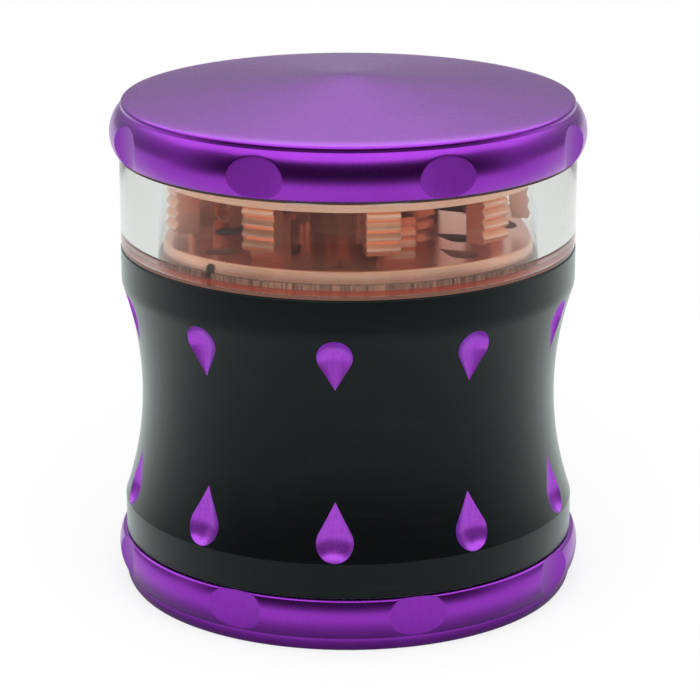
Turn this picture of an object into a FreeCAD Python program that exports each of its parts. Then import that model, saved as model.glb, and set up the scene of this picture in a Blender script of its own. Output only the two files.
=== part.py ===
import FreeCAD, Part
import math
import os

# A four-part hand grinder: a base cup, a sieve chamber, a toothed plate that
# carries a clear window ring, and a lid that spins on it. The axis is Z, the
# origin is the centre of the base's underside, and the front faces -Y.
# Lengths are in millimetres and angles in degrees, counted from the front
# towards +X.

# Outer heights, from the table up
base_height = 7.2
chamber_height = 39.73
flange_thickness = 0.4
window_height = 11.85
lid_gap = 0.36
lid_side_height = 6.12
lid_cone_rise = 2.76
seat_clearance = 0.02

# Outer radius of the chamber's bands and of the window ring, and how far the
# other rims stand out from it or draw in
band_radius = 30.4
waist_draw_in = 2.5
lid_stand_out = 1.2
lid_foot_stand_out = 0.4
lid_crease_draw_in = 0.3
lid_cone_draw_in = 2.4
base_stand_out = 1.0
base_lip_stand_out = 0.45
base_crease_stand_out = 0.05
base_foot_draw_in = 0.55
base_crease_height = 1.8
base_foot_bulge = 0.22

# Lid shoulder: a gentle slope from the cone, a rounded edge and an upright land above the crease
lid_slope_drop = 0.27
lid_slope_bulge = 0.02
lid_edge_draw_in = 0.4
lid_edge_drop = 0.47
lid_edge_bulge = 0.1
lid_land_height = 0.28

# Chamber bands and waist
lower_band_height = 4.73
upper_band_height = 4.95
band_foot_round = 0.5
band_top_chamfer = 0.25
waist_edge_round = 5.0

# Walls
waist_wall = 2.5
band_wall = 2.05
base_floor = 2.2
base_corner_round = 3.0
plate_floor = 3.1
window_wall = 5.3
window_edge_round = 0.3

# Screw threads between base, chamber and plate
thread_pitch = 1.5
thread_depth = 0.6
thread_crest_width = 0.25
thread_flank_angle = 30.0
thread_clearance = 0.12
spigot_length = 4.6
thread_start_gap = 0.1
thread_end_gap = 0.5
thread_start_angle = 45.0
thread_relief_height = 0.8
seal_pocket_height = 1.0
seal_clearance = 0.05

# Sieve: a crimped rim held under a ledge by a snap ring
sieve_ledge_width = 1.3
sieve_rim_height = 1.15
sieve_rim_cover = 0.6
sieve_mesh_thickness = 0.25
sieve_clearance = 0.05
snap_ring_height = 1.0
snap_ring_width = 1.5
snap_ring_gap = 5.0
snap_groove_depth = 0.5
snap_groove_land = 0.5

# Grinding plate and window seat
plate_step = 2.28
plate_edge_chamfer = 0.25
flange_inset = 0.1
gasket_width = 0.6
gasket_height = 0.7
gasket_clearance = 0.05
key_radius = 0.4
key_height = 1.75
key_angle = -41.3

# Teeth
tooth_disc_drop = 2.46
tooth_disc_seat = 1.64
tooth_disc_clearance = 0.05
tooth_tip_clearance = 1.87
tooth_depth = 2.6
tooth_row_gap = 0.5
tooth_width = 4.1
serration_count = 4
serration_depth = 0.45

# Rows of teeth, numbered from the outside in: the lid's and the plate's take turns
row_count = 5
lid_tooth_counts = {0: 10, 2: 5, 4: 5}
lid_tooth_angles = {0: 10.0, 2: 10.0, 4: 28.0}
plate_tooth_counts = {1: 8, 3: 4}
plate_tooth_angles = {1: 17.0, 3: 39.0}

# Drop-shaped holes through the plate, on an outer and an inner circle
outer_hole_inset = 4.6
inner_hole_inset = 9.3
plate_hole_count = 8
outer_hole_angle = -3.0
inner_hole_angle = 16.5
plate_hole_radius = 1.8
plate_hole_length = 5.8

# Hubs and magnets
hub_row_gap = 2.0
hub_gap = 0.4
hub_wall = 2.0
magnet_height = 3.0
magnet_clearance = 0.05

# Screws that hold the tooth disc in the lid
screw_count = 5
screw_first_angle = 28.0
screw_radius = 1.25
screw_head_radius = 2.35
screw_head_height = 1.2
screw_reach = 3.4
screw_slot_width = 0.7
screw_slot_depth = 0.6
screw_clearance = 0.05

# Glide ring between window and lid
glide_ring_inset = 1.1
glide_ring_width = 2.6
glide_groove_depth = 1.0
glide_clearance = 0.05

# Finger dents round the lid and the base
dent_count = 8
dent_depth = 0.85
dent_cutter_radius = 11.5
lid_dent_angle = 23.3
base_dent_angle = 16.8

# Drops hollowed in the chamber's waist
drop_count = 10
drop_angle = -3.3
drop_hollow = 1.05
upper_drop_radius = 2.38
lower_drop_radius = 2.52
upper_drop_length = 6.9
lower_drop_length = 7.6
upper_drop_margin = 0.45
lower_drop_margin = 0.2

# Levels worked out from the stack
chamber_bottom = base_height + seat_clearance
chamber_top = chamber_bottom + chamber_height
flange_bottom = chamber_top + seat_clearance
flange_top = flange_bottom + flange_thickness
plate_top = flange_top + plate_step
plate_under = plate_top - plate_floor
window_top = flange_top + window_height
lid_bottom = window_top + lid_gap
lid_crease = lid_bottom + lid_side_height
lid_edge_low = lid_crease + lid_land_height
lid_edge_high = lid_edge_low + lid_edge_drop
lid_cone_foot = lid_edge_high + lid_slope_drop
lid_apex = lid_cone_foot + lid_cone_rise
disc_bottom = lid_bottom - tooth_disc_drop
disc_top = lid_bottom + tooth_disc_seat
hub_middle = (plate_top + disc_bottom) / 2
plate_hub_top = hub_middle - hub_gap / 2
lid_hub_bottom = hub_middle + hub_gap / 2

# Levels of the threads and of the sieve's seat
base_spigot_top = base_height + spigot_length
plate_spigot_low = flange_bottom - spigot_length
lower_thread_low = chamber_bottom + seal_pocket_height
lower_thread_high = chamber_bottom + spigot_length
upper_thread_low = chamber_top - spigot_length
upper_thread_high = chamber_top - seal_pocket_height
base_ridge_low = lower_thread_low + thread_start_gap
base_ridge_high = base_spigot_top - thread_end_gap
plate_ridge_low = plate_spigot_low + thread_end_gap
plate_ridge_high = upper_thread_high - thread_start_gap
sieve_seat_low = lower_thread_high + thread_relief_height
snap_low = sieve_seat_low + snap_groove_land
snap_high = snap_low + snap_ring_height + 2 * sieve_clearance
sieve_rim_low = snap_high + sieve_clearance
sieve_rim_high = sieve_rim_low + sieve_rim_height
sieve_ledge = sieve_rim_high + sieve_clearance
sieve_mesh_low = (sieve_rim_low + sieve_rim_high - sieve_mesh_thickness) / 2

# Radii worked out from the bands and the walls
waist_radius = band_radius - waist_draw_in
lid_radius = band_radius + lid_stand_out
lid_foot_radius = band_radius + lid_foot_stand_out
lid_cone_radius = band_radius - lid_cone_draw_in
lid_crease_radius = band_radius - lid_crease_draw_in
lid_edge_radius = lid_crease_radius - lid_edge_draw_in
base_radius = band_radius + base_stand_out
base_lip_radius = band_radius + base_lip_stand_out
base_crease_radius = band_radius + base_crease_stand_out
base_foot_radius = band_radius - base_foot_draw_in
chamber_bore = waist_radius - waist_wall
sieve_seat_radius = chamber_bore + sieve_ledge_width
sieve_mesh_radius = chamber_bore + sieve_rim_cover
snap_groove_radius = sieve_seat_radius + snap_groove_depth
thread_groove_radius = band_radius - band_wall
thread_crest_radius = thread_groove_radius - thread_clearance
thread_core_radius = thread_crest_radius - thread_depth
thread_bore_radius = thread_core_radius + thread_clearance
window_inner = band_radius - window_wall
plate_radius = window_inner - gasket_width
flange_radius = band_radius - flange_inset
key_circle = window_inner - gasket_clearance - key_radius
glide_ring_inner = window_inner + glide_ring_inset
glide_ring_outer = glide_ring_inner + glide_ring_width
row_pitch = tooth_depth + tooth_row_gap
screw_circle = plate_radius - row_pitch - tooth_depth / 2
hub_radius = plate_radius - row_count * row_pitch - hub_row_gap
magnet_radius = hub_radius - hub_wall

# Thread flanks
flank_slope = math.tan(math.radians(thread_flank_angle))
flank_clearance = thread_clearance / math.cos(math.radians(thread_flank_angle))

# Waist, an arc between the two bands
waist_low = chamber_bottom + lower_band_height
waist_high = chamber_top - upper_band_height
waist_middle = (waist_low + waist_high) / 2
waist_half = (waist_high - waist_low) / 2
waist_arc_radius = (waist_half ** 2 + waist_draw_in ** 2) / (2 * waist_draw_in)

overlap = 0.2
ORIGIN = FreeCAD.Vector(0, 0, 0)
X_AXIS = FreeCAD.Vector(1, 0, 0)
Z_AXIS = FreeCAD.Vector(0, 0, 1)
FRONT = -90.0


def at(radius, height):
    return FreeCAD.Vector(radius, 0, height)


def line(start, end):
    return Part.LineSegment(at(*start), at(*end)).toShape()


def lines(points):
    return [line(a, b) for a, b in zip(points, points[1:])]


def arc(start, through, end):
    return Part.Arc(at(*start), at(*through), at(*end)).toShape()


def bulged(start, end, bulge):
    """An arc that stands out by bulge from its chord, to the right of start to end."""
    run = (end[0] - start[0], end[1] - start[1])
    length = math.hypot(*run)
    middle = ((start[0] + end[0]) / 2, (start[1] + end[1]) / 2)
    through = (middle[0] + bulge * run[1] / length, middle[1] - bulge * run[0] / length)
    return arc(start, through, end)


def quarter_bulge(radius):
    """How far a quarter circle stands out from its chord."""
    return radius * (1 - math.sqrt(0.5))


def turned(edges):
    """A solid of revolution about Z from a closed outline of radius and height."""
    return Part.Face(Part.Wire(edges)).revolve(ORIGIN, Z_AXIS, 360)


def disc(radius, low, high):
    return Part.makeCylinder(radius, high - low, at(0, low))


def ring(inner, outer, low, high):
    return turned(lines([(inner, low), (outer, low), (outer, high), (inner, high), (inner, low)]))


def around(shape, angle):
    """A copy of a shape made on the +X side, turned to an angle counted from the front."""
    copy = shape.copy()
    copy.rotate(ORIGIN, Z_AXIS, FRONT + angle)
    return copy


def spread(shape, count, first_angle):
    step = 360.0 / count
    return [around(shape, first_angle + step * k) for k in range(count)]


def round_edge(solid, radius, edge_radius, edge_height):
    """Round the one circular edge that has this radius and height."""
    tolerance = 1e-4
    circles = [edge for edge in solid.Edges if isinstance(edge.Curve, Part.Circle)]
    chosen = [edge for edge in circles if abs(edge.Curve.Radius - edge_radius) < tolerance
              and abs(edge.Curve.Center.z - edge_height) < tolerance]
    return solid.makeFillet(radius, chosen)


def waist_radius_at(height):
    centre = waist_radius + waist_arc_radius
    return centre - math.sqrt(waist_arc_radius ** 2 - (height - waist_middle) ** 2)


def flank_half_width(radius):
    """Half the width of a male thread's ridge at a radius."""
    return thread_crest_width / 2 + (thread_crest_radius - radius) * flank_slope


def helical_bar(first_height, turns, inner_radius, inner_half, outer_radius, outer_half):
    """A right-hand helical bar of trapezoid section, whose middle starts at first_height."""
    corners = [(inner_radius, -inner_half), (outer_radius, -outer_half), (outer_radius, outer_half),
               (inner_radius, inner_half), (inner_radius, -inner_half)]
    path = Part.Wire(Part.makeHelix(thread_pitch, turns * thread_pitch, inner_radius))
    bar = path.makePipeShell([Part.Wire(lines(corners))], True, True)
    bar.rotate(ORIGIN, Z_AXIS, thread_start_angle)
    bar.translate(at(0, first_height))
    return bar


def male_ridge(low, high):
    """The ridge of a male thread between two heights, sunk a little into its core."""
    root_radius = thread_core_radius - overlap
    root_half = flank_half_width(root_radius)
    turns = (high - low - 2 * root_half) / thread_pitch
    return helical_bar(low + root_half, turns, root_radius, root_half,
                       thread_crest_radius, flank_half_width(thread_crest_radius))


def female_ridge(male_low, low, high):
    """The ridge that runs half a pitch from a male ridge starting at male_low, sunk into its wall."""
    root_radius = thread_groove_radius + overlap
    root_half = thread_pitch / 2 - flank_half_width(root_radius) - flank_clearance
    crest_half = thread_pitch / 2 - flank_half_width(thread_bore_radius) - flank_clearance
    male_first = male_low + flank_half_width(thread_core_radius - overlap)
    whole_pitches = math.ceil((low + root_half - male_first) / thread_pitch - 0.5)
    first = male_first + (whole_pitches + 0.5) * thread_pitch
    turns = (high - root_half - first) / thread_pitch
    return helical_bar(first, turns, thread_bore_radius, crest_half, root_radius, root_half)


def o_ring(pocket_low):
    """A seal in the pocket between a spigot's core and the chamber's thread groove."""
    radius = (thread_core_radius + thread_groove_radius) / 2
    section = (thread_groove_radius - thread_core_radius) / 2 - seal_clearance
    return Part.makeTorus(radius, section, at(0, pocket_low + seal_pocket_height / 2))


def drop_prism(radius, length, low, high):
    """An upright prism over a flat drop with its point at the axis and its round end towards +X."""
    centre = length - radius
    lean = math.asin(radius / centre)
    touch_x = centre - radius * math.sin(lean)
    touch_y = radius * math.cos(lean)
    point = at(0, low)
    left = FreeCAD.Vector(touch_x, -touch_y, low)
    right = FreeCAD.Vector(touch_x, touch_y, low)
    outline = Part.Wire([Part.LineSegment(point, left).toShape(),
                         Part.Arc(left, at(length, low), right).toShape(),
                         Part.LineSegment(right, point).toShape()])
    return Part.Face(outline).extrude(at(0, high - low))


def drop_cutter(drop_radius, point_height, end_height):
    """A ball drawn out to a point, laid on the waist so that the ball sinks in and the point touches."""
    towards = 1 if end_height > point_height else -1
    ball_height = end_height - towards * drop_radius
    ball_radius = (drop_radius ** 2 + drop_hollow ** 2) / (2 * drop_hollow)
    point = at(waist_radius_at(point_height), point_height)
    foot = at(waist_radius_at(ball_height), ball_height)
    along = (foot - point).normalize()
    outward = FreeCAD.Vector(abs(along.z), 0, -towards * along.x)
    lean_line = foot + outward * (ball_radius - drop_hollow) - point
    reach = lean_line.Length
    lean = math.asin(ball_radius / reach)
    touch = FreeCAD.Vector(reach - ball_radius * math.sin(lean), ball_radius * math.cos(lean), 0)
    crown = FreeCAD.Vector(reach + ball_radius * math.cos(lean), ball_radius * math.sin(lean), 0)
    tail = FreeCAD.Vector(reach + ball_radius, 0, 0)
    outline = Part.Wire([Part.LineSegment(ORIGIN, touch).toShape(),
                         Part.Arc(touch, crown, tail).toShape(),
                         Part.LineSegment(tail, ORIGIN).toShape()])
    cutter = Part.Face(outline).revolve(ORIGIN, X_AXIS, 360)
    cutter.Placement = FreeCAD.Placement(point, FreeCAD.Rotation(X_AXIS, lean_line))
    return cutter


def dent_cutters(rim_radius, low, high, first_angle):
    """Upright cylinders that scallop the finger dents in a rim."""
    axis_radius = rim_radius - dent_depth + dent_cutter_radius
    cutter = Part.makeCylinder(dent_cutter_radius, high - low, at(axis_radius, low))
    return spread(cutter, dent_count, first_angle)


def tooth_row(row, count, first_angle, low, high, root_low, root_high):
    """Teeth with V-ridges turned on their outer face, and a root that joins them to their disc."""
    outer = plate_radius - row * row_pitch
    inner = outer - tooth_depth
    valley = outer - serration_depth
    pitch = (high - low) / serration_count
    points = [(inner, low), (valley, low)]
    for k in range(serration_count):
        points.append((outer, low + (k + 0.5) * pitch))
        points.append((valley, low + (k + 1) * pitch))
    points += [(inner, high), (inner, low)]
    band = turned(lines(points)).fuse(ring(inner, valley, root_low, root_high))
    block = Part.makeBox(tooth_depth + 2 * overlap, tooth_width, max(high, root_high) - min(low, root_low))
    block.translate(FreeCAD.Vector(inner - overlap, -tooth_width / 2, min(low, root_low)))
    return [band.common(copy) for copy in spread(block, count, first_angle)]


def magnet_pocket(low, high):
    return disc(magnet_radius + magnet_clearance, low, high)


def key_slot():
    """The upright slot round the window key, in the plate's wall and open through the gasket's outer face."""
    radius = key_radius + gasket_clearance
    height = key_height + gasket_clearance
    mouth = Part.makeBox(window_inner - key_circle, 2 * radius, height)
    mouth.translate(FreeCAD.Vector(key_circle, -radius, flange_top))
    return around(Part.makeCylinder(radius, height, at(key_circle, flange_top)).fuse(mouth), key_angle)


def make_base_cup():
    foot = (base_foot_radius, 0)
    crease = (base_crease_radius, base_crease_height)
    lip = (base_lip_radius, base_height)
    corner_wall = (chamber_bore, base_floor + base_corner_round)
    corner_floor = (chamber_bore - base_corner_round, base_floor)
    outline = lines([(0, base_floor), (0, 0), foot])
    outline.append(bulged(foot, crease, base_foot_bulge))
    outline.append(arc(crease, (base_radius, (base_crease_height + base_height) / 2), lip))
    outline += lines([lip, (thread_core_radius, base_height), (thread_core_radius, base_spigot_top),
                      (chamber_bore, base_spigot_top), corner_wall])
    outline.append(bulged(corner_wall, corner_floor, -quarter_bulge(base_corner_round)))
    outline.append(line(corner_floor, (0, base_floor)))
    cup = turned(outline).cut(dent_cutters(base_radius, 0, base_height, base_dent_angle))
    return cup.fuse(male_ridge(base_ridge_low, base_ridge_high))


def make_chamber_body():
    foot = (band_radius - band_foot_round, chamber_bottom)
    foot_end = (band_radius, chamber_bottom + band_foot_round)
    low_edge = (band_radius, waist_low)
    high_edge = (band_radius, waist_high)
    upper_relief_low = upper_thread_low - thread_relief_height
    outline = [bulged(foot, foot_end, quarter_bulge(band_foot_round)), line(foot_end, low_edge)]
    outline.append(arc(low_edge, (waist_radius, waist_middle), high_edge))
    outline += lines([high_edge, (band_radius, chamber_top - band_top_chamfer),
                      (band_radius - band_top_chamfer, chamber_top),
                      (thread_groove_radius, chamber_top), (thread_groove_radius, upper_relief_low),
                      (chamber_bore, upper_relief_low), (chamber_bore, sieve_ledge),
                      (sieve_seat_radius, sieve_ledge), (sieve_seat_radius, snap_high),
                      (snap_groove_radius, snap_high), (snap_groove_radius, snap_low),
                      (sieve_seat_radius, snap_low), (sieve_seat_radius, sieve_seat_low),
                      (thread_groove_radius, sieve_seat_low), (thread_groove_radius, chamber_bottom), foot])
    body = round_edge(turned(outline), waist_edge_round, band_radius, waist_high)
    body = body.fuse([female_ridge(base_ridge_low, lower_thread_low, lower_thread_high),
                      female_ridge(plate_ridge_low, upper_thread_low, upper_thread_high)])
    upper_end = waist_high - upper_drop_margin
    lower_end = waist_low + lower_drop_margin
    upper_drop = drop_cutter(upper_drop_radius, upper_end - upper_drop_length, upper_end)
    lower_drop = drop_cutter(lower_drop_radius, lower_end + lower_drop_length, lower_end)
    return body.cut(spread(upper_drop, drop_count, drop_angle) + spread(lower_drop, drop_count, drop_angle))


def make_sieve_rim():
    slot_low = sieve_mesh_low - sieve_clearance
    slot_high = sieve_mesh_low + sieve_mesh_thickness + sieve_clearance
    rim = ring(chamber_bore, sieve_seat_radius - sieve_clearance, sieve_rim_low, sieve_rim_high)
    return rim.cut(disc(sieve_mesh_radius + sieve_clearance, slot_low, slot_high))


def make_sieve_mesh():
    return disc(sieve_mesh_radius, sieve_mesh_low, sieve_mesh_low + sieve_mesh_thickness)


def make_sieve_snap_ring():
    outer = snap_groove_radius - sieve_clearance
    whole = ring(outer - snap_ring_width, outer, snap_low + sieve_clearance, snap_high - sieve_clearance)
    gap = Part.makeBox(outer, snap_ring_gap, snap_high - snap_low)
    gap.translate(FreeCAD.Vector(0, -snap_ring_gap / 2, snap_low))
    return whole.cut(gap)


def make_grinding_plate():
    outline = lines([(0, plate_under), (0, plate_hub_top), (hub_radius, plate_hub_top),
                     (hub_radius, plate_top), (plate_radius - plate_edge_chamfer, plate_top),
                     (plate_radius, plate_top - plate_edge_chamfer), (plate_radius, flange_top),
                     (flange_radius, flange_top), (flange_radius, flange_bottom),
                     (thread_core_radius, flange_bottom), (thread_core_radius, plate_spigot_low),
                     (chamber_bore, plate_spigot_low), (chamber_bore, plate_under), (0, plate_under)])
    additions = [male_ridge(plate_ridge_low, plate_ridge_high)]
    tooth_top = disc_bottom - tooth_tip_clearance
    for row, count in plate_tooth_counts.items():
        additions += tooth_row(row, count, plate_tooth_angles[row], plate_top, tooth_top,
                               plate_top - overlap, plate_top)
    cuts = [magnet_pocket(plate_hub_top - magnet_height - magnet_clearance, plate_hub_top), key_slot()]
    hole = drop_prism(plate_hole_radius, plate_hole_length, plate_under, plate_top)
    for inset, first_angle in [(outer_hole_inset, outer_hole_angle), (inner_hole_inset, inner_hole_angle)]:
        placed = hole.translated(at(plate_radius - inset - plate_hole_length / 2, 0))
        cuts += spread(placed, plate_hole_count, first_angle)
    return turned(outline).fuse(additions).cut(cuts).removeSplitter()


def make_window_ring():
    foot = (band_radius - window_edge_round, flange_top)
    foot_end = (band_radius, flange_top + window_edge_round)
    brow = (band_radius, window_top - window_edge_round)
    brow_end = (band_radius - window_edge_round, window_top)
    bulge = quarter_bulge(window_edge_round)
    outline = [line((window_inner, flange_top), foot), bulged(foot, foot_end, bulge),
               line(foot_end, brow), bulged(brow, brow_end, bulge)]
    outline += lines([brow_end, (window_inner, window_top), (window_inner, flange_top)])
    return turned(outline)


def make_window_gasket():
    whole = ring(plate_radius + gasket_clearance, window_inner - gasket_clearance,
                 flange_top, flange_top + gasket_height)
    return whole.cut(key_slot())


def make_window_key():
    shank_top = flange_top + key_height - key_radius
    shank = Part.makeCylinder(key_radius, shank_top - flange_top, at(key_circle, flange_top))
    return around(shank.fuse(Part.makeSphere(key_radius, at(key_circle, shank_top))), key_angle)


def make_magnet(low):
    return disc(magnet_radius, low, low + magnet_height)


def make_glide_ring():
    return ring(glide_ring_inner, glide_ring_outer, window_top + glide_clearance,
                lid_bottom + glide_groove_depth - glide_clearance)


def make_lid_cap():
    recess = plate_radius + tooth_disc_clearance
    groove_inner = glide_ring_inner - glide_clearance
    groove_outer = glide_ring_outer + glide_clearance
    groove_top = lid_bottom + glide_groove_depth
    cone_foot = (lid_cone_radius, lid_cone_foot)
    edge = (lid_edge_radius, lid_edge_high)
    land = (lid_crease_radius, lid_edge_low)
    crease = (lid_crease_radius, lid_crease)
    foot = (lid_foot_radius, lid_bottom)
    outline = lines([(0, disc_top), (0, lid_apex), cone_foot])
    outline.append(bulged(cone_foot, edge, -lid_slope_bulge))
    outline.append(bulged(edge, land, -lid_edge_bulge))
    outline.append(line(land, crease))
    outline.append(arc(crease, (lid_radius, (lid_bottom + lid_crease) / 2), foot))
    outline += lines([foot, (groove_outer, lid_bottom), (groove_outer, groove_top),
                      (groove_inner, groove_top), (groove_inner, lid_bottom), (recess, lid_bottom),
                      (recess, disc_top), (0, disc_top)])
    hole = Part.makeCylinder(screw_radius + screw_clearance, screw_reach + screw_clearance,
                             at(screw_circle, disc_top))
    cuts = dent_cutters(lid_radius, lid_bottom, lid_crease, lid_dent_angle)
    return turned(outline).cut(cuts + spread(hole, screw_count, screw_first_angle))


def screw_shape(clearance):
    """A countersunk screw that stands on the tooth disc's lower face, or its hole with a clearance."""
    head_top = disc_bottom + screw_head_height
    neck = screw_radius + clearance
    shape = turned(lines([(0, disc_bottom), (screw_head_radius + clearance, disc_bottom), (neck, head_top),
                          (neck, disc_top + screw_reach), (0, disc_top + screw_reach), (0, disc_bottom)]))
    return shape.translated(at(screw_circle, 0))


def make_lid_tooth_disc():
    additions = [disc(hub_radius, lid_hub_bottom, disc_bottom + overlap)]
    tooth_tip = plate_top + tooth_tip_clearance
    for row, count in lid_tooth_counts.items():
        additions += tooth_row(row, count, lid_tooth_angles[row], tooth_tip, disc_bottom,
                               disc_bottom, disc_bottom + overlap)
    cuts = spread(screw_shape(screw_clearance), screw_count, screw_first_angle)
    cuts.append(magnet_pocket(lid_hub_bottom, lid_hub_bottom + magnet_height + magnet_clearance))
    return disc(plate_radius, disc_bottom, disc_top).fuse(additions).cut(cuts).removeSplitter()


def make_tooth_disc_screws():
    slot = Part.makeBox(2 * screw_head_radius, screw_slot_width, screw_slot_depth)
    slot.translate(FreeCAD.Vector(screw_circle - screw_head_radius, -screw_slot_width / 2, disc_bottom))
    return Part.makeCompound(spread(screw_shape(0.0).cut(slot), screw_count, screw_first_angle))


nodes = {
    "base_cup": make_base_cup(),
    "base_seal": o_ring(chamber_bottom),
    "chamber_body": make_chamber_body(),
    "sieve_rim": make_sieve_rim(),
    "sieve_mesh": make_sieve_mesh(),
    "sieve_snap_ring": make_sieve_snap_ring(),
    "plate_seal": o_ring(chamber_top - seal_pocket_height),
    "grinding_plate": make_grinding_plate(),
    "plate_magnet": make_magnet(plate_hub_top - magnet_height),
    "window_ring": make_window_ring(),
    "window_gasket": make_window_gasket(),
    "window_key": make_window_key(),
    "lid_glide_ring": make_glide_ring(),
    "lid_cap": make_lid_cap(),
    "lid_tooth_disc": make_lid_tooth_disc(),
    "tooth_disc_screws": make_tooth_disc_screws(),
    "lid_magnet": make_magnet(lid_hub_bottom),
}

os.makedirs("parts", exist_ok=True)
for name, shape in nodes.items():
    shape.exportStep("parts/" + name + ".step")
    print(name, len(shape.Solids), shape.isValid(), round(shape.Volume, 2))
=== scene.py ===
import math
from functools import cached_property

import bmesh
import bpy
from mathutils import Matrix, Vector


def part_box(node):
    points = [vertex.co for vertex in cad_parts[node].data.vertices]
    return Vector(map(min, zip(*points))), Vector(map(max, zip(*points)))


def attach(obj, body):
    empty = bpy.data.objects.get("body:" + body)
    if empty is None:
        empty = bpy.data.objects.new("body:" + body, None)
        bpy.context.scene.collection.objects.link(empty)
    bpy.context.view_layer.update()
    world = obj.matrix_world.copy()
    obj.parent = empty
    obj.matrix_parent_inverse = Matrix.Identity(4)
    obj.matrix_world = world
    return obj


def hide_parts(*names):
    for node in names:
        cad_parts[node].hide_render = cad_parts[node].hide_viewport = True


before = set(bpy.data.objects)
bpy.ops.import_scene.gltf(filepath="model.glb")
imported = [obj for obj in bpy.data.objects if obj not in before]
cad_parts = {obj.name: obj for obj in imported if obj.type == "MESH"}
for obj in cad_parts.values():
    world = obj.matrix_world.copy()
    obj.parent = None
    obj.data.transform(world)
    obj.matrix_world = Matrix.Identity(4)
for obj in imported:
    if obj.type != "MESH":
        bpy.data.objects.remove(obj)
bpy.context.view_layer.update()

# Sections and finishes are drawn in millimetres, and Blender's scene is in metres.
MM = 0.001
# Angles are counted from the front, -Y, towards +X.
FRONT = -90.0

# Columns round a turned piece, and how its sharp edges are eased
ROUND = 384
EDGE = 0.12
EDGE_STEPS = 7
EDGE_SHARE = 0.45
CORNER = math.radians(28)
# Points nearer to the axis than this lie on it.
ON_AXIS = 1e-6
# Slivers smaller than this are merged after a cut.
SPECK = 0.002
# How far a quarter circle of radius 1 stands out from its chord
QUARTER_BULGE = 1 - math.sqrt(0.5)


def levels(node):
    """The lowest and highest level of a CAD node, in millimetres."""
    low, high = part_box(node)
    return low.z / MM, high.z / MM


def reach(node):
    """The outer radius of a CAD node, in millimetres."""
    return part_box(node)[1].x / MM


# Levels and radii taken from the frame
base_spigot_top = levels("base_cup")[1]
chamber_bottom, chamber_top = levels("chamber_body")
window_bottom, window_top = levels("window_ring")
lid_bottom, lid_apex = levels("lid_cap")
disc_top = levels("lid_tooth_disc")[1]
sieve_top = levels("sieve_rim")[1]
snap_low, snap_high = levels("sieve_snap_ring")
glide_low, glide_high = levels("lid_glide_ring")
plate_spigot_low = levels("grinding_plate")[0]
band = reach("chamber_body")
disc_radius = reach("lid_tooth_disc")

# Base, bore and waist, as drawn for the construction
seam = 0.02
base_height = chamber_bottom - seam
bore = band - 5.0
waist_radius = band - 2.5
waist_low = chamber_bottom + 4.73
waist_high = chamber_top - 4.95

# Screw threads between base, chamber and plate
spigot_length = 4.6
threaded_depth = 5.4
seal_pocket = 1.0
thread_pitch = 1.5
thread_depth = 0.6
thread_play = 0.12
thread_sunk = 0.2
thread_start_gap = 0.1
thread_end_gap = 0.5
thread_crest_half = 0.125
thread_flank = math.radians(30)
thread_first_angle = math.radians(45)
thread_groove = band - 2.05
thread_crest = thread_groove - thread_play
thread_core = thread_crest - thread_depth
base_ridge_low = chamber_bottom + seal_pocket + thread_start_gap
base_ridge_high = base_spigot_top - thread_end_gap
plate_ridge_low = plate_spigot_low + thread_end_gap


# Outlines

def circle_through(a, b, c):
    """Centre and radius of the circle through three points."""
    ax, ay, bx, by, cx, cy = *a, *b, *c
    d = 2 * (ax * (by - cy) + bx * (cy - ay) + cx * (ay - by))
    sa, sb, sc = ax * ax + ay * ay, bx * bx + by * by, cx * cx + cy * cy
    x = (sa * (by - cy) + sb * (cy - ay) + sc * (ay - by)) / d
    y = (sa * (cx - bx) + sb * (ax - cx) + sc * (bx - ax)) / d
    return (x, y), math.hypot(ax - x, ay - y)


def arc(start, through, end, steps):
    """Points of an arc after its start, up to and with its end."""
    (x, y), radius = circle_through(start, through, end)
    first = math.atan2(start[1] - y, start[0] - x)
    middle = math.atan2(through[1] - y, through[0] - x)
    last = math.atan2(end[1] - y, end[0] - x)
    sweep = (last - first) % math.tau
    if (middle - first) % math.tau > sweep:
        sweep -= math.tau
    angles = [first + sweep * k / steps for k in range(1, steps + 1)]
    return [(x + radius * math.cos(a), y + radius * math.sin(a)) for a in angles]


def bulged(start, end, bulge, steps):
    """An arc that stands out by bulge to the right of the run from start to end."""
    run = Vector(end) - Vector(start)
    aside = Vector((run.y, -run.x)).normalized() * bulge
    through = (Vector(start) + Vector(end)) / 2 + aside
    return arc(start, tuple(through), end, steps)


def eased(section, ring, radius=EDGE):
    """The section with its sharp corners rounded off. A ring's section is closed."""
    count = len(section)
    done = []
    for k, point in enumerate(section):
        inner = ring or 0 < k < count - 1
        here = Vector(point)
        back = Vector(section[k - 1]) - here
        ahead = Vector(section[(k + 1) % count]) - here
        turn = math.pi - back.angle(ahead) if inner else 0.0
        if turn < CORNER:
            done.append(point)
            continue
        trim = min(radius * math.tan(turn / 2), EDGE_SHARE * back.length, EDGE_SHARE * ahead.length)
        a = here + back.normalized() * trim
        b = here + ahead.normalized() * trim
        for step in range(EDGE_STEPS + 1):
            t = step / EDGE_STEPS
            done.append(tuple(a * (1 - t) ** 2 + here * 2 * t * (1 - t) + b * t ** 2))
    return done


# Meshes

def placed(name, data):
    """An object in the scene for a mesh, a lamp or a camera."""
    made = bpy.data.objects.new(name, data)
    bpy.context.scene.collection.objects.link(made)
    return made


def piece(name, mesh, body, finishes, sharp=CORNER):
    """A piece of the object that rides on a body, with its finishes, and edges above an angle kept sharp."""
    for finish in finishes:
        mesh.materials.append(finish)
    mesh.shade_smooth()
    mesh.set_sharp_from_angle(angle=sharp)
    made = placed(name, mesh)
    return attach(made, body)


def plain_column(share):
    """A column of a plain turned piece: every row keeps its own radius."""
    angle = share * math.tau
    return lambda radius: (angle, radius)


def plain_columns(count=ROUND):
    """Columns spread evenly round a plain turned piece."""
    return [plain_column(k / count) for k in range(count)]


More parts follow.
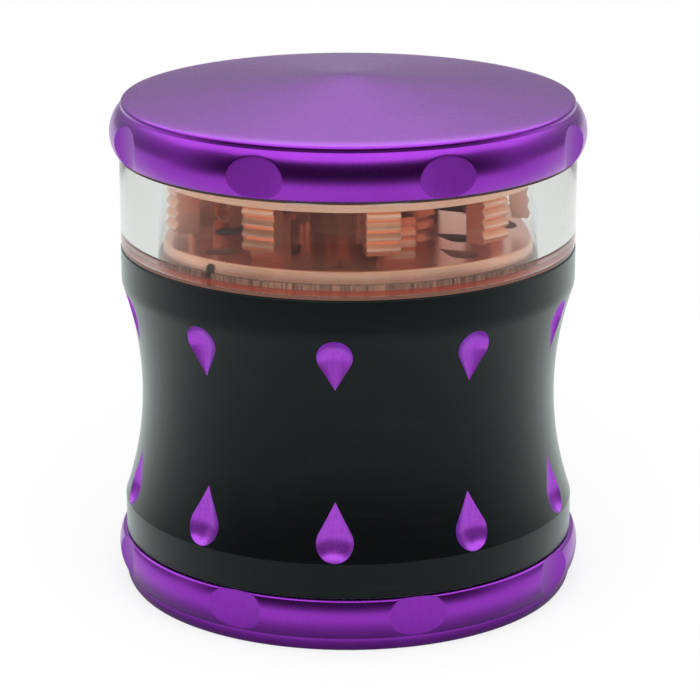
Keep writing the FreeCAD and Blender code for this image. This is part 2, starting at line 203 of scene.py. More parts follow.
def at(radius, angle, height):
    """A vertex's place in metres."""
    return radius * MM * math.cos(angle), radius * MM * math.sin(angle), height * MM


def turned(section, columns, ring=False):
    """A mesh turned about the axis from points of radius and height."""
    mesh = bmesh.new()
    rows = []
    for radius, height in section:
        if radius < ON_AXIS:
            rows.append([mesh.verts.new((0, 0, height * MM))])
            continue
        row = []
        for column in columns:
            angle, out = column(radius)
            row.append(mesh.verts.new(at(out, angle, height)))
        rows.append(row)
    pairs = list(zip(rows, rows[1:])) + ([(rows[-1], rows[0])] if ring else [])
    for low, high in pairs:
        for k in range(len(columns)):
            n = (k + 1) % len(columns)
            corners = [low[k % len(low)], low[n % len(low)], high[n % len(high)], high[k % len(high)]]
            face = list(dict.fromkeys(corners))
            if len(face) > 2:
                mesh.faces.new(face)
    bmesh.ops.recalc_face_normals(mesh, faces=mesh.faces[:])
    return mesh


def as_mesh(name, *parts):
    """One mesh from one or more closed bmeshes."""
    whole = bpy.data.meshes.new(name)
    joined = bmesh.new()
    for part in parts:
        step = bpy.data.meshes.new(name)
        part.to_mesh(step)
        part.free()
        joined.from_mesh(step)
        bpy.data.meshes.remove(step)
    joined.to_mesh(whole)
    joined.free()
    return whole


class FingerDents:
    """Upright round-nosed scallops spread round a rim."""
    count = 8
    depth = 0.85
    cutter = 11.5
    blend = 0.05
    blend_share = 0.6
    least = math.radians(0.25)
    inside = [-1, -0.985, -0.95, -0.88, -0.75, -0.6, -0.4, -0.2, 0, 0.2, 0.4, 0.6, 0.75, 0.88, 0.95, 0.985, 1]
    outside = [0.012, 0.035, 0.08, 0.16, 0.28, 0.42, 0.56, 0.7, 0.85, 1]

    def __init__(self, crown, first_angle):
        self.axis = crown - self.depth + self.cutter
        self.first = math.radians(FRONT + first_angle)
        self.sector = math.tau / self.count

    def floor(self, angle):
        """Radius of a dent's floor at an angle from its middle, or no limit beside it."""
        offset = self.axis * math.sin(angle)
        if abs(offset) >= self.cutter:
            return math.inf
        return self.axis * math.cos(angle) - math.sqrt(self.cutter ** 2 - offset ** 2)

    def half_width(self, radius):
        """The angle at which a dent's floor comes up to a radius."""
        cosine = (radius ** 2 + self.axis ** 2 - self.cutter ** 2) / (2 * radius * self.axis)
        return max(self.least, math.acos(min(1.0, cosine)))

    def column(self, sector, inside, outside):
        """A column at a share of a dent's half width, or of the way from its edge to the next dent."""
        middle = self.first + sector * self.sector

        def place(radius):
            half = self.half_width(radius)
            offset = inside * half + outside * (self.sector / 2 - half)
            sunk = radius - self.floor(offset)
            if sunk == -math.inf:
                return middle + offset, radius
            return middle + offset, radius - (sunk + math.hypot(sunk, self.blend)) / 2
        return place

    def columns(self):
        """Columns round the rim, closer together at the dents' edges."""
        shares = [(-1, -s) for s in reversed(self.outside[:-1])]
        shares += [(s, 0) for s in self.inside]
        shares += [(1, s) for s in self.outside]
        return [self.column(k, a, b) for k in range(self.count) for a, b in shares]

    def scalloped(self, section):
        """A turned mesh with the dents in it, whose faces take the second finish."""
        mesh = turned(section, self.columns())
        for face in mesh.faces:
            x, y, _ = face.calc_center_median() / MM
            offset = (math.atan2(y, x) - self.first + self.sector / 2) % self.sector - self.sector / 2
            out = math.hypot(x, y)
            from_axis = math.hypot(out * math.cos(offset) - self.axis, out * math.sin(offset))
            face.material_index = int(from_axis < self.cutter + self.blend_share * self.blend)
        return mesh

    def bulge_rows(self, start, through, end):
        """Points of a bulged rim after its start, close together where the dents run out."""
        (x, y), radius = circle_through(start, through, end)
        first = math.atan2(start[1] - y, start[0] - x)
        last = math.atan2(end[1] - y, end[0] - x)
        widest = self.half_width(x + radius)
        plain = 16
        angles = [first + (last - first) * k / plain for k in range(1, plain)]
        steps = 24
        for k in range(steps + 1):
            dent = self.floor(widest * math.sin(math.pi / 2 * k / steps))
            angle = math.acos(max(-1.0, min(1.0, (dent - x) / radius)))
            angles += [angle, -angle]
        apart = 0.004
        low, high = min(first, last), max(first, last)
        angles = {apart * round(a / apart) for a in angles if low + apart < a < high - apart}
        angles = sorted(angles, reverse=first > last) + [last]
        return [(x + radius * math.cos(a), y + radius * math.sin(a)) for a in angles]


def thread_ridge(low, high, inner, inner_half, outer, outer_half):
    """A right-hand helical ridge of trapezoid section, whose middle climbs from low to high."""
    steps_a_turn = 96
    turns = (high - low) / thread_pitch
    count = int(turns * steps_a_turn)
    corners = [(inner, -inner_half), (outer, -outer_half), (outer, outer_half), (inner, inner_half)]
    mesh = bmesh.new()
    rows = []
    for k in range(count + 1):
        angle = thread_first_angle + math.tau * turns * k / count
        height = low + (high - low) * k / count
        rows.append([mesh.verts.new(at(radius, angle, height + aside)) for radius, aside in corners])
    for a, b in zip(rows, rows[1:]):
        for k in range(len(corners)):
            n = (k + 1) % len(corners)
            mesh.faces.new([a[k], a[n], b[n], b[k]])
    mesh.faces.new(rows[0])
    mesh.faces.new(rows[-1])
    bmesh.ops.recalc_face_normals(mesh, faces=mesh.faces[:])
    return mesh


def flank_half(radius):
    """Half the width of a male thread's ridge at a radius."""
    return thread_crest_half + (thread_crest - radius) * math.tan(thread_flank)


def male_ridge(low, high):
    """The ridge of a male thread between two levels, sunk a little into its core."""
    root = thread_core - thread_sunk
    half = flank_half(root)
    return thread_ridge(low + half, high - half, root, half, thread_crest, thread_crest_half)


def female_ridge(male_low, high):
    """The ridge in the chamber's wall that runs half a pitch from a male ridge, up to a level."""
    gap = thread_play / math.cos(thread_flank)
    crest = thread_core + thread_play
    root = thread_groove + thread_sunk
    crest_half = thread_pitch / 2 - flank_half(crest) - gap
    root_half = thread_pitch / 2 - flank_half(root) - gap
    first = male_low + flank_half(thread_core - thread_sunk) + thread_pitch / 2
    return thread_ridge(first, high - root_half, crest, crest_half, root, root_half)


# Finishes

class Socket:
    """A node's output, on which Python's operators add Math nodes."""

    def __init__(self, nodes, link):
        self.nodes = nodes
        self.link = link

    def maths(self, operation, first, second=0.0):
        return self.nodes.add("Math", {"operation": operation}, {0: first, 1: second})

    def __add__(self, other):
        return self.maths("ADD", self, other)

    def __sub__(self, other):
        return self.maths("SUBTRACT", self, other)

    def __rsub__(self, other):
        return self.maths("SUBTRACT", other, self)

    def __mul__(self, other):
        return self.maths("MULTIPLY", self, other)

    def __truediv__(self, other):
        return self.maths("DIVIDE", self, other)

    def __rtruediv__(self, other):
        return self.maths("DIVIDE", other, self)

    __radd__ = __add__
    __rmul__ = __mul__

    def larger(self, other):
        return self.maths("MAXIMUM", self, other)

    def root(self):
        return self.maths("SQRT", self)

    def wave(self):
        return self.maths("SINE", self)

    def over(self, start, end):
        """0 below start, 1 above end and a smooth rise between."""
        return self.nodes.add("MapRange", {"interpolation_type": "SMOOTHSTEP"},
                              {"Value": self, "From Min": start, "From Max": end})


class Nodes:
    """A node tree that is built up from nothing."""

    def __init__(self, owner):
        owner.use_nodes = True
        self.tree = owner.node_tree
        self.tree.nodes.clear()

    def add(self, kind, settings={}, sockets={}, output=0):
        """A node of a kind, its settings, and the values or links of its sockets."""
        node = self.tree.nodes.new("ShaderNode" + kind)
        for name, value in settings.items():
            setattr(node, name, value)
        for name, value in sockets.items():
            if isinstance(value, Socket):
                self.tree.links.new(value.link, node.inputs[name])
            else:
                node.inputs[name].default_value = value
        return Socket(self, node.outputs[output])

    def rays(self, *names):
        """1 for the named kinds of ray, else 0."""
        share = self.add("LightPath", output=names[0])
        for name in names[1:]:
            share = share.larger(self.add("LightPath", output=name))
        return share

    def mix(self, share, first, second):
        """A colour between two colours, by the Mix node's colour sockets 6 and 7 and its output 2."""
        return self.add("Mix", {"data_type": "RGBA"}, {"Factor": share, 6: first, 7: second}, 2)

    def end(self, kind, shader, inside=None):
        """The tree's output, from its surface and from what fills the inside."""
        last = self.tree.nodes.new("ShaderNodeOutput" + kind)
        self.tree.links.new(shader.link, last.inputs["Surface"])
        if inside:
            self.tree.links.new(inside.link, last.inputs["Volume"])


class Finish(Nodes):
    """A material's nodes. The point's place, x, y, z and radius from the axis are in millimetres."""

    def __init__(self, name):
        self.material = bpy.data.materials.new(name)
        super().__init__(self.material)

    @cached_property
    def where(self):
        raw = self.add("TexCoord", output="Object")
        return self.add("VectorMath", {"operation": "SCALE"}, {0: raw, "Scale": 1 / MM})

    @cached_property
    def x(self):
        return self.add("SeparateXYZ", {}, {0: self.where}, 0)

    @cached_property
    def y(self):
        return self.add("SeparateXYZ", {}, {0: self.where}, 1)

    @cached_property
    def z(self):
        return self.add("SeparateXYZ", {}, {0: self.where}, 2)

    @cached_property
    def radius(self):
        return (self.x * self.x + self.y * self.y).root()

    def noise(self, where, scale=1.0, detail=2.0, rough=0.5):
        return self.add("TexNoise", {},
                        {"Vector": where, "Scale": scale, "Detail": detail, "Roughness": rough})

    def vector(self, x, y, z):
        return self.add("CombineXYZ", {}, {0: x, 1: y, 2: z})

    def bump(self, height, strength, depth):
        """A relief for Normal, whose depth is in millimetres."""
        return self.add("Bump", {}, {"Height": height, "Strength": strength, "Distance": depth * MM})

    def surface(self, **sockets):
        """The material's one surface shader, from sockets named in plain words."""
        titles = {name: name.replace("_", " ").title().replace("Ior", "IOR") for name in sockets}
        return self.add("BsdfPrincipled", {}, {titles[name]: value for name, value in sockets.items()})

    def done(self, shader, inside=None):
        self.end("Material", shader, inside)
        return self.material


def colour(red, green, blue):
    """A linear colour as a socket takes it."""
    return (red, green, blue, 1.0)


PURPLE = colour(0.27, 0.030, 0.47)
PURPLE_DEEP = colour(0.25, 0.027, 0.445)
PURPLE_CUT = colour(0.32, 0.050, 0.54)
BLACK = colour(0.0008, 0.0009, 0.0010)
BLACK_WORN = colour(0.0045, 0.0043, 0.0038)
BLACK_SHINE = colour(0.76, 0.98, 1.0)
BLACK_SHEEN = colour(0.75, 1.0, 0.93)
COPPER_PAINTED_HIGHLIGHT = colour(1.0, 0.60, 0.45)
COPPER_LINED = colour(0.90, 0.42, 0.27)
COPPER_ORANGE = colour(0.90, 0.36, 0.20)
COPPER_SHADED = colour(0.82, 0.33, 0.21)
COPPER_PAINTED_REFLECTION = colour(0.44, 0.03, 0.01)
COPPER_BROWN = colour(0.15, 0.07, 0.05)
ACRYLIC = colour(0.985, 0.99, 0.985)
ACRYLIC_SHINE = colour(0.5, 0.5, 0.5)
ACRYLIC_LIT = colour(0.96, 0.97, 0.965)
ACRYLIC_DEPTH = colour(0.73, 0.765, 0.745)
RUBBER = colour(0.012, 0.011, 0.010)
RUBBER_DUSTY = colour(0.035, 0.028, 0.024)
GASKET_DARK = colour(0.06, 0.028, 0.02)
GASKET_BROWN = colour(0.34, 0.17, 0.11)
WIRE_SHADED_UNDER = colour(0.36, 0.36, 0.35)
WIRE_LIT_OVER = colour(0.66, 0.66, 0.64)
NYLON = colour(0.010, 0.010, 0.010)
NYLON_LINED = colour(0.022, 0.021, 0.020)
FLOOR_PAINT = colour(0.77, 0.77, 0.77)
UNLIT = colour(0, 0, 0)
WHITE = colour(1, 1, 1)


def purple_anodising(name):
    """Purple dye under a clear anodised skin, with a fine blasted grain."""
    f = Finish(name)
    cloud = f.noise(f.where, scale=0.12, detail=3.0)
    grain = f.noise(f.where, scale=9.0, rough=0.6)
    tint = f.mix(cloud.over(0.35, 0.65), PURPLE, PURPLE_DEEP)
    rough = 0.27 + (grain - 0.5) * 0.10 + (cloud - 0.5) * 0.04
    return f.done(f.surface(base_color=tint, metallic=1.0, roughness=rough, coat_weight=0.15, coat_ior=1.5,
                            coat_roughness=0.3, normal=f.bump(grain, strength=0.25, depth=0.006)))


def milled_dents():
    """Purple anodising in the finger dents, left a little rougher by the cutter."""
    f = Finish("milled_dents")
    marks = f.noise(f.vector(f.x * 3.0, f.y * 3.0, f.z * 0.6))
    grain = f.noise(f.where, scale=9.0, rough=0.6)
    tint = f.mix(marks.over(0.3, 0.7), PURPLE, PURPLE_DEEP)
    rough = 0.44 + (grain - 0.5) * 0.1
    return f.done(f.surface(base_color=tint, metallic=0.95, roughness=rough, coat_weight=0.1, coat_ior=1.5,
                            coat_roughness=0.4, normal=f.bump(grain, strength=0.3, depth=0.006)))


def milled_drops():
    """Purple anodising in the drops, with the cutter's fine marks."""
    f = Finish("milled_drops")
    rings = f.noise(f.vector(f.x * 0.5, f.y * 0.5, f.z * 9.0))
    streaks = f.noise(f.vector(f.x * 5.0, f.y * 5.0, f.z * 0.4))
    tint = f.mix((rings * 0.5 + streaks * 0.5).over(0.35, 0.65), PURPLE_CUT, PURPLE)
    rough = 0.24 + streaks * 0.14
    marks = f.bump(rings + streaks, strength=0.3, depth=0.012)
    return f.done(f.surface(base_color=tint, metallic=0.85, roughness=rough, coat_weight=0.3, coat_ior=1.5,
                            coat_roughness=0.25, normal=marks))


def black_anodising():
    """Black anodising with a soft sheen, a fine grain and faint handling marks."""
    f = Finish("black_anodising")
    grain = f.noise(f.where, scale=8.0, rough=0.6)
    cloud = f.noise(f.where, scale=0.15, detail=3.0)
    rubs = f.noise(f.vector(f.x * 0.12, f.y * 0.12, f.z * 1.6), detail=3.0)
    worn = rubs.over(0.60, 0.80) * 0.5 + cloud.over(0.5, 0.8) * 0.3
    tint = f.mix(worn, BLACK, BLACK_WORN)
    rough = 0.29 + (grain - 0.5) * 0.10 + worn * 0.06
    return f.done(f.surface(base_color=tint, metallic=0.0, roughness=rough, specular_ior_level=0.17,
                            specular_tint=BLACK_SHINE, sheen_weight=0.3, sheen_roughness=0.35,
                            sheen_tint=BLACK_SHEEN, normal=f.bump(grain, strength=0.2, depth=0.006)))


def turned_copper():
    """Copper-coloured metal with fine lathe lines: a painted highlight on the outer walls and ridges, painted
    shade in the grooves and inside, a dull red painted reflection where the window ring beds and brown at the
    flange's rim."""
    f = Finish("turned_copper")
    lines = f.noise(f.vector(f.radius * 0.9, f.z * 5.0, 0.0), detail=3.0, rough=0.6)
    cloud = f.noise(f.where, scale=0.25, detail=3.0)
    lined = cloud.over(0.35, 0.7) * 0.3 + lines.over(0.4, 0.62) * 0.6
    # Painted highlight: the outer walls and ridges take a paler copper.
    wall = f.mix(lined, COPPER_PAINTED_HIGHLIGHT, COPPER_LINED)
    # Painted shade: the copper in the grooves and further inside is darker.
    grooves = f.radius.over(disc_radius - 0.4, disc_radius - 0.3)
    ridges = f.radius.over(disc_radius - 0.25, disc_radius - 0.08)
    flange = f.radius.over(disc_radius + 0.5, disc_radius + 0.7)
    rim = f.radius.over(band - 0.25, band - 0.2)
    # Painted reflection: where the window ring beds, the flange is dull red in place of copper mirrored in
    # copper.
    bedded = flange * f.z.over(window_bottom - 0.15, window_bottom - 0.05)
    tint = f.mix(ridges, f.mix(grooves, COPPER_SHADED, COPPER_ORANGE), wall)
    tint = f.mix(rim, f.mix(bedded, tint, COPPER_PAINTED_REFLECTION), COPPER_BROWN)
    bare = 0.8 - 0.74 * bedded * (1 - rim) - 0.2 * rim
    return f.done(f.surface(base_color=tint, metallic=bare, roughness=0.17 + lines * 0.14,
                            normal=f.bump(lines, strength=0.5, depth=0.02)))


def clear_acrylic():
    """Polished clear acrylic, which lets lamp light through to what is inside and darkens with depth."""
    f = Finish("clear_acrylic")
    scuffs = f.noise(f.vector(f.x * 2.0, f.y * 2.0, f.z * 0.15))
    clear = f.surface(base_color=ACRYLIC, roughness=0.02 + scuffs.over(0.68, 0.75) * 0.06, ior=1.49,
                      transmission_weight=1.0, specular_tint=ACRYLIC_SHINE)
    through = f.add("BsdfTransparent", {}, {"Color": ACRYLIC_LIT})
    lit = f.rays("Is Shadow Ray", "Is Diffuse Ray")
    tinted = f.add("VolumeAbsorption", {}, {"Color": ACRYLIC_DEPTH, "Density": 100.0})
    return f.done(f.add("MixShader", {}, {0: lit, 1: clear, 2: through}), tinted)


def black_rubber():
    """Moulded black rubber with a dusty bloom."""
    f = Finish("black_rubber")
    dust = f.noise(f.where, scale=4.0, detail=3.0)
    tint = f.mix(dust.over(0.4, 0.8), RUBBER, RUBBER_DUSTY)
    return f.done(f.surface(base_color=tint, roughness=0.62 + dust * 0.2,
                            normal=f.bump(dust, strength=0.2, depth=0.02)))


def brown_rubber():
    """Brown rubber with upright streaks."""
    f = Finish("brown_rubber")
    streaks = f.noise(f.vector(f.x * 2.5, f.y * 2.5, f.z * 0.3), detail=3.0, rough=0.6)
    tint = f.mix(streaks.over(0.3, 0.7), GASKET_DARK, GASKET_BROWN)
    return f.done(f.surface(base_color=tint, roughness=0.5 + streaks * 0.2,
                            normal=f.bump(streaks, strength=0.3, depth=0.02)))


def brushed_steel(name, shade, roughness, warmth=0.02):
    """Steel with fine turned or drawn lines, grey or browned."""
    f = Finish(name)
    lines = f.noise(f.vector(f.radius * 6.0, f.z * 6.0, 0.0))
    cloud = f.noise(f.where, scale=0.6)
    cool = 1 - warmth
    tint = f.mix(cloud, colour(shade, shade * cool, shade * cool ** 2),
                 colour(shade * 0.85, shade * 0.84 * cool, shade * 0.82 * cool ** 2))
    return f.done(f.surface(base_color=tint, metallic=1.0, roughness=roughness + lines * 0.12,
                            normal=f.bump(lines, strength=0.2, depth=0.01)))


def woven_wire():
    """Fine plain-weave wire cloth: crossing wires with open squares between them, with painted shade where a
    wire dips under a crossing wire and painted light where it rides over.
    """
    f = Finish("woven_wire")
    weave = 0.5
    beat = math.tau / weave
    across = (f.x * beat).wave()
    along = (f.y * beat).wave()
    wires = (across * across).larger(along * along)
    lift = (f.x * beat / 2).wave() * (f.y * beat / 2).wave()
    # Painted shade where a wire dips under a crossing wire, painted light where it rides over it.
    tint = f.mix(lift.over(-1.0, 1.0), WIRE_SHADED_UNDER, WIRE_LIT_OVER)
    relief = f.bump(wires + lift * 0.5, strength=0.6, depth=0.08)
    return f.done(f.surface(base_color=tint, metallic=1.0, roughness=0.3 + wires * 0.1,
                            alpha=wires.over(0.35, 0.5), normal=relief))


def black_nylon():
    """Black nylon with a faint turned grain."""
    f = Finish("black_nylon")
    lines = f.noise(f.vector(f.radius * 4.0, f.z * 4.0, 0.0))
    tint = f.mix(lines, NYLON, NYLON_LINED)
    return f.done(f.surface(base_color=tint, roughness=0.45 + lines * 0.15,
                            normal=f.bump(lines, strength=0.15, depth=0.02)))


# Pieces

def make_lid(finish, dent_finish):
    """The lid: a shallow cone, a sloping shoulder with a rounded edge, a crease and a bulged rim with
    dents. The glide ring's groove and the tooth disc's recess are underneath."""
    cone_foot = (band - 2.4, lid_apex - 2.76)
    land = (band - 0.3, cone_foot[1] - 0.74)
    edge = (land[0] - 0.4, land[1] + 0.47)
    crease = (land[0], land[1] - 0.28)
    crown = (band + 1.2, (lid_bottom + crease[1]) / 2)
    foot = (band + 0.59, lid_bottom + 0.3)
    foot_end = (band + 0.2, lid_bottom)
    play = 0.05
    recess = disc_radius + play
    groove_inner = band - 4.25
    groove_outer = groove_inner + 2.7
    groove_top = glide_high + play
    dents = FingerDents(crown[0], first_angle=23.3)
    cone_steps = 12
    section = [(cone_foot[0] * k / cone_steps, lid_apex + (cone_foot[1] - lid_apex) * k / cone_steps)
               for k in range(cone_steps + 1)]
    section += bulged(cone_foot, edge, bulge=-0.02, steps=8)
    section += bulged(edge, land, bulge=-0.1, steps=10)
    section.append(crease)
    section += dents.bulge_rows(crease, crown, foot)
    section += bulged(foot, foot_end, bulge=-0.07, steps=6)
    section += [(groove_outer, lid_bottom), (groove_outer, groove_top), (groove_inner, groove_top),
                (groove_inner, lid_bottom), (recess, lid_bottom), (recess, disc_top), (0, disc_top)]
    mesh = as_mesh("lid_turned", dents.scalloped(eased(section, ring=False)))
    lid = piece("lid_turned", mesh, "lid", [finish, dent_finish])
    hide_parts("lid_cap")


def make_base(finish, dent_finish):
    """The base cup: a rounded foot, a bulged rim with dents, a threaded spigot and a round-cornered well."""
    foot = (band - 0.55, 0)
    crease = (band + 0.05, 1.8)
    crown = (band + 1.0, (crease[1] + base_height) / 2)
    lip_start = (band + 0.56, base_height - 0.22)
    lip_end = (band + 0.08, base_height)
    floor = 2.2
    corner = 3.0
    well_side = (bore, floor + corner)
    well_floor = (bore - corner, floor)
    dents = FingerDents(crown[0], first_angle=16.8)
    section = [(0, 0), foot]
    section += bulged(foot, crease, bulge=0.22, steps=14)
    section += dents.bulge_rows(crease, crown, lip_start)
    section += bulged(lip_start, lip_end, bulge=0.065, steps=8)
    section += [(thread_core, base_height), (thread_core, base_spigot_top), (bore, base_spigot_top),
                well_side]
    section += bulged(well_side, well_floor, bulge=-corner * QUARTER_BULGE, steps=8)
    section.append((0, floor))
    cup = dents.scalloped(eased(section, ring=False))
    mesh = as_mesh("base_turned", cup, male_ridge(base_ridge_low, base_ridge_high))
    base = piece("base_turned", mesh, "base", [finish, dent_finish])
    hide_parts("base_cup")


def waist_arc():
    """Centre radius, level and radius of the arc of the waist."""
    middle = (waist_low + waist_high) / 2
    (x, y), radius = circle_through((band, waist_low), (waist_radius, middle), (band, waist_high))
    return x, y, radius


def waist_radius_at(height):
    """The waist's radius at a level."""
    x, y, radius = waist_arc()
    return x - math.sqrt(radius ** 2 - (height - y) ** 2)


def waist_rows():
    """Points of the waist after its lower edge, up to the upper band with a soft turn into it."""
    x, y, radius = waist_arc()
    soft = 5.0
    level = y + math.sqrt((radius + soft) ** 2 - (x - band + soft) ** 2)
    meet_share = radius / (radius + soft)
    meet = (x + (band - soft - x) * meet_share, y + (level - y) * meet_share)
    points = arc((band, waist_low), (waist_radius, y), meet, steps=60)
    across = math.atan2(meet[1] - level, meet[0] - band + soft) / 2
    through = (band - soft + soft * math.cos(across), level + soft * math.sin(across))
    return points + arc(meet, through, (band, level), steps=10)


def drop_cutter(drop_radius, point_height, end_height):
    """A ball drawn out to a point, laid on the waist so that the ball sinks in and the point touches."""
    hollow = 1.05
    cone_steps = 8
    towards = 1 if end_height > point_height else -1
    ball_height = end_height - towards * drop_radius
    ball = (drop_radius ** 2 + hollow ** 2) / (2 * hollow)
    point = Vector((waist_radius_at(point_height), 0, point_height))
    foot = Vector((waist_radius_at(ball_height), 0, ball_height))
    along = (foot - point).normalized()
    outward = Vector((abs(along.z), 0, -towards * along.x))
    lean_line = foot + outward * (ball - hollow) - point
    length = lean_line.length
    lean = math.asin(ball / length)
    touch = (ball * math.cos(lean), length - ball * math.sin(lean))
    side = (ball * math.cos(lean / 3), length + ball * math.sin(lean / 3))
    section = [(0, 0)]
    section += [(touch[0] * k / cone_steps, touch[1] * k / cone_steps) for k in range(1, cone_steps + 1)]
    section += arc(touch, side, (0, length + ball), steps=28)
    mesh = turned(section, plain_columns(count=96))
    turn = lean_line.to_track_quat("Z", "X").to_matrix().to_4x4()
    bmesh.ops.transform(mesh, matrix=Matrix.Translation(point * MM) @ turn, verts=mesh.verts)
    return mesh


def drop_cutters():
    """All the cutters for the two rows of drops, in one mesh."""
    count = 10
    first_angle = -3.3
    upper_end = waist_high - 0.45
    lower_end = waist_low + 0.2
    upper_drop = {"drop_radius": 2.38, "point_height": upper_end - 6.9, "end_height": upper_end}
    lower_drop = {"drop_radius": 2.52, "point_height": lower_end + 7.6, "end_height": lower_end}
    cutters = []
    for k in range(count):
        turn = Matrix.Rotation(math.radians(FRONT + first_angle + 360 / count * k), 4, "Z")
        for drop in (upper_drop, lower_drop):
            cutter = drop_cutter(**drop)
            bmesh.ops.transform(cutter, matrix=turn, verts=cutter.verts)
            cutters.append(cutter)
    return as_mesh("drop_cutters", *cutters)


def cut(mesh, cutter, finish, cut_finish):
    """The mesh with the cutter's shape taken out, where the cut faces take the second finish."""
    bodies = []
    for part, material in ((mesh, finish), (cutter, cut_finish)):
        part.materials.append(material)
        bodies.append(placed(part.name, part))
    modifier = bodies[0].modifiers.new("cut", "BOOLEAN")
    modifier.operation = "DIFFERENCE"
    modifier.solver = "EXACT"
    modifier.material_mode = "TRANSFER"
    modifier.object = bodies[1]
    evaluated = bodies[0].evaluated_get(bpy.context.evaluated_depsgraph_get())
    result = bmesh.new()
    result.from_mesh(bpy.data.meshes.new_from_object(evaluated))
    for made in bodies:
        bpy.data.objects.remove(made)
    bmesh.ops.remove_doubles(result, verts=result.verts[:], dist=SPECK * MM)
    bmesh.ops.dissolve_degenerate(result, edges=result.edges[:], dist=SPECK * MM)
    return result


def make_chamber(finish, drop_finish):
    """The sieve chamber: two straight bands, a drawn-in waist with drops, threads at both ends and the
    sieve's seat with its snap ring's groove."""
    foot_round = 0.3
    chamfer = 0.25
    play = 0.05
    foot = (band - foot_round, chamber_bottom)
    foot_end = (band, chamber_bottom + foot_round)
    seat = bore + 1.3
    groove = seat + 0.5
    groove_low = snap_low - play
    groove_high = snap_high + play
    ledge = sieve_top + play
    lower_relief = chamber_bottom + threaded_depth
    upper_relief = chamber_top - threaded_depth
    section = [foot] + bulged(foot, foot_end, bulge=foot_round * QUARTER_BULGE, steps=8)
    section += [(band, waist_low)] + waist_rows()
    section += [(band, chamber_top - chamfer), (band - chamfer, chamber_top), (thread_groove, chamber_top),
                (thread_groove, upper_relief), (bore, upper_relief), (bore, ledge), (seat, ledge),
                (seat, groove_high), (groove, groove_high), (groove, groove_low), (seat, groove_low),
                (seat, lower_relief), (thread_groove, lower_relief), (thread_groove, chamber_bottom)]
    plain = as_mesh("chamber_turned", turned(eased(section, ring=True), plain_columns(), ring=True))
    body = cut(plain, drop_cutters(), finish, drop_finish)
    lower_ridge = female_ridge(base_ridge_low, chamber_bottom + spigot_length)
    upper_ridge = female_ridge(plate_ridge_low, chamber_top - seal_pocket)
    mesh = as_mesh("chamber_threaded", body, lower_ridge, upper_ridge)
    chamber = piece("chamber_turned", mesh, "chamber", [finish, drop_finish], sharp=math.radians(15))
    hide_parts("chamber_body")


def make_window(finish):
    """The clear ring, bedded on the plate's flange."""
    inner = band - 5.3
    edge = 0.3
    bedding = 0.03
    low = window_bottom - bedding
    foot = (band - edge, low)
    section = [(inner, low), foot]
    section += bulged(foot, (band, low + edge), bulge=edge * QUARTER_BULGE, steps=6)
    section += [(band, window_top), (inner, window_top)]
    mesh = as_mesh("window_clear", turned(eased(section, ring=True, radius=0.06), plain_columns(), ring=True))
    window = piece("window_clear", mesh, "plate", [finish])
    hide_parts("window_ring")


def make_glide(finish):
    """The ring that the lid runs on, with a black lip that fills the gap under the lid's rim as painted
    shade.
    """
    inner = band - 4.2
    outer = reach("lid_glide_ring")
    # The lip is painted shade: dark nylon put in the gap under the lid's rim, where there is only shade.
    lip = band - 0.05
    lip_top = lid_bottom - 0.03
    section = [(inner, glide_low), (lip, glide_low), (lip, lip_top), (outer, lip_top), (outer, glide_high),
               (inner, glide_high)]
    mesh = as_mesh("glide_lipped", turned(eased(section, ring=True, radius=0.05), plain_columns(), ring=True))
    glide = piece("glide_lipped", mesh, "glide_ring", [finish])
    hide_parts("lid_glide_ring")


def dress(finish, *nodes):
    """Give CAD nodes that stay as they are their finish."""
    for name in nodes:
        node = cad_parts[name]
        node.data.materials.clear()
        node.data.materials.append(finish)


# Studio

SEEN_RAYS = ("Is Camera Ray", "Is Transmission Ray")
SHOWN_RAYS = SEEN_RAYS + ("Is Glossy Ray",)


def make_floor():
    """A wide white floor that keeps a soft shadow; in reflections it carries a painted shadow round the base
    and is darker towards the front.
    """
    f = Finish("studio_floor")
    sunk = -0.05
    width = 2500
    paint = f.add("BsdfDiffuse", {}, {"Color": FLOOR_PAINT})
    # Painted shadow: in reflections the floor darkens round the base and dims towards the front.
    reflected_painted_shadow = (0.3 + 0.7 * f.y.over(-250, -130)) * f.radius.over(29, 41)
    glow = f.mix(f.rays(*SEEN_RAYS).larger(reflected_painted_shadow), UNLIT, WHITE)
    white = f.add("Emission", {}, {"Color": glow, "Strength": 1.0})
    share = 0.7 + 0.3 * f.radius.over(90, 200)
    finish = f.done(f.add("MixShader", {}, {0: f.rays(*SHOWN_RAYS) * share, 1: paint, 2: white}))
    mesh = as_mesh("studio_floor", turned([(0, sunk), (width, sunk)], plain_columns(count=64)))
    mesh.materials.append(finish)
    floor = placed("studio_floor", mesh)


def make_flag():
    """A dark card curved round the front, which only shiny and clear surfaces see."""
    f = Finish("studio_flag")
    foot_glow = 0.35 * (1 - f.z.over(0, 60))
    top_glow = 0.4 * f.z.over(250, 320)
    side_glow = 0.5 * (f.y / f.radius).over(-0.55, -0.05)
    shade = 0.05 + foot_glow + top_glow + side_glow
    finish = f.done(f.add("Emission", {}, {"Color": f.mix(shade, UNLIT, WHITE), "Strength": 1.0}))
    distance = 240
    height = 310
    half_sweep = 87
    steps = 58
    corners = []
    for k in range(steps + 1):
        angle = math.radians(FRONT - half_sweep + 2 * half_sweep * k / steps)
        corners += [at(distance, angle, level) for level in (0, height)]
    mesh = bpy.data.meshes.new("studio_flag")
    mesh.from_pydata(corners, [], [[k, k + 2, k + 3, k + 1] for k in range(0, 2 * steps, 2)])
    mesh.materials.append(finish)
    flag = placed("studio_flag", mesh)
    flag.visible_camera = False
    flag.visible_diffuse = False
    flag.visible_shadow = False


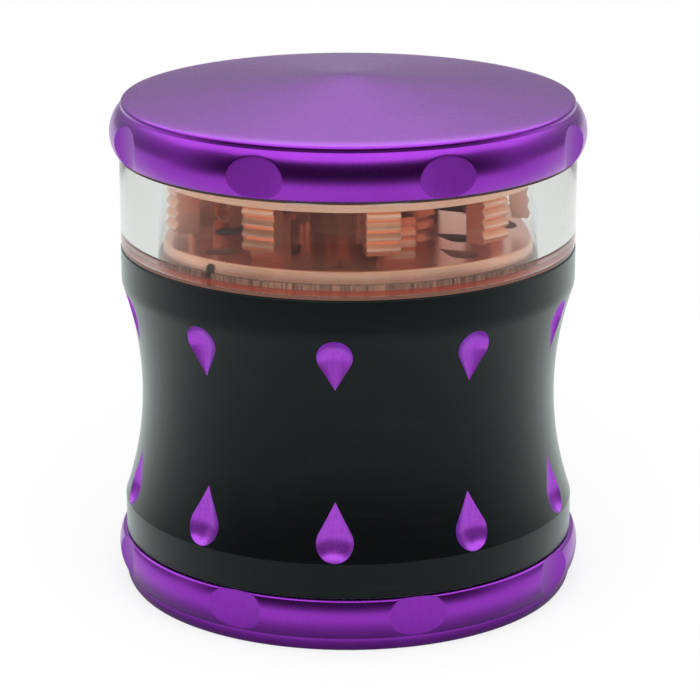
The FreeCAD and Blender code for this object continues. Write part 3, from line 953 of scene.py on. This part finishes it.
def make_room():
    """A white room, dimmer towards the horizon in reflections."""
    world = bpy.data.worlds.new("studio_room")
    bpy.context.scene.world = world
    room = Nodes(world)
    towards = room.add("TexCoord", output="Generated")
    rise = room.add("SeparateXYZ", {}, {0: towards}, 2)
    ambient = 0.35
    mirrored = ambient + 0.4 * rise.over(0.1, 0.6) * room.rays("Is Glossy Ray")
    shade = room.mix(room.rays(*SEEN_RAYS).larger(mirrored), UNLIT, WHITE)
    room.end("World", room.add("Background", {}, {"Color": shade, "Strength": 1.0}))


def make_lamp(name, radiance, width, height, place, target, shines=True):
    """A rectangular soft box that faces a target, and whether shiny surfaces mirror it."""
    lamp = bpy.data.lights.new(name, "AREA")
    lamp.shape = "RECTANGLE"
    lamp.size = width
    lamp.size_y = height
    lamp.energy = radiance * math.pi * width * height
    box = placed(name, lamp)
    box.location = place
    box.rotation_euler = (Vector(target) - box.location).to_track_quat("-Z", "Y").to_euler()
    box.visible_camera = False
    box.visible_transmission = False
    box.visible_glossy = shines


def make_lamps():
    """A wide soft box overhead, a brighter strip behind it and a broad fill from the front."""
    make_lamp("overhead_box", radiance=1.15, width=1.4, height=1.0,
              place=(0, 0.03, 0.55), target=(0, 0.03, 0))
    make_lamp("back_strip", radiance=1.7, width=1.4, height=0.26,
              place=(0, 0.66, 0.55), target=(0, 0.66, 0))
    make_lamp("front_fill", radiance=4.2, width=1.4, height=0.45,
              place=(0, -0.6, 0.27), target=(0, 0, 0.05), shines=False)


def make_camera():
    """The camera at the photograph's angle."""
    elevation = math.radians(16.88)
    distance = 399.6 * MM
    target = Vector((0.24, 0, 31.4)) * MM
    back = Vector((0, -math.cos(elevation), math.sin(elevation)))
    data = bpy.data.cameras.new("photo_camera")
    data.sensor_width = 36.0
    data.lens = 151.6
    camera = placed("photo_camera", data)
    camera.location = target + back * distance
    camera.rotation_euler = (-back).to_track_quat("-Z", "Y").to_euler()
    bpy.context.scene.camera = camera


bpy.context.scene.view_settings.view_transform = "Standard"

dent_purple = milled_dents()
make_lid(purple_anodising("purple_lid"), dent_purple)
make_base(purple_anodising("purple_base"), dent_purple)
make_chamber(black_anodising(), milled_drops())
make_window(clear_acrylic())
dress(turned_copper(), "lid_tooth_disc", "grinding_plate")
dress(black_rubber(), "base_seal", "plate_seal")
dress(brown_rubber(), "window_gasket")
dress(brushed_steel("sieve_steel", shade=0.55, roughness=0.28),
      "sieve_rim", "sieve_snap_ring", "tooth_disc_screws")
dress(brushed_steel("browned_pin", shade=0.22, roughness=0.35, warmth=0.35), "window_key")
dress(brushed_steel("magnet_nickel", shade=0.72, roughness=0.16), "plate_magnet", "lid_magnet")
dress(woven_wire(), "sieve_mesh")
make_glide(black_nylon())
make_floor()
make_flag()
make_room()
make_lamps()
make_camera()
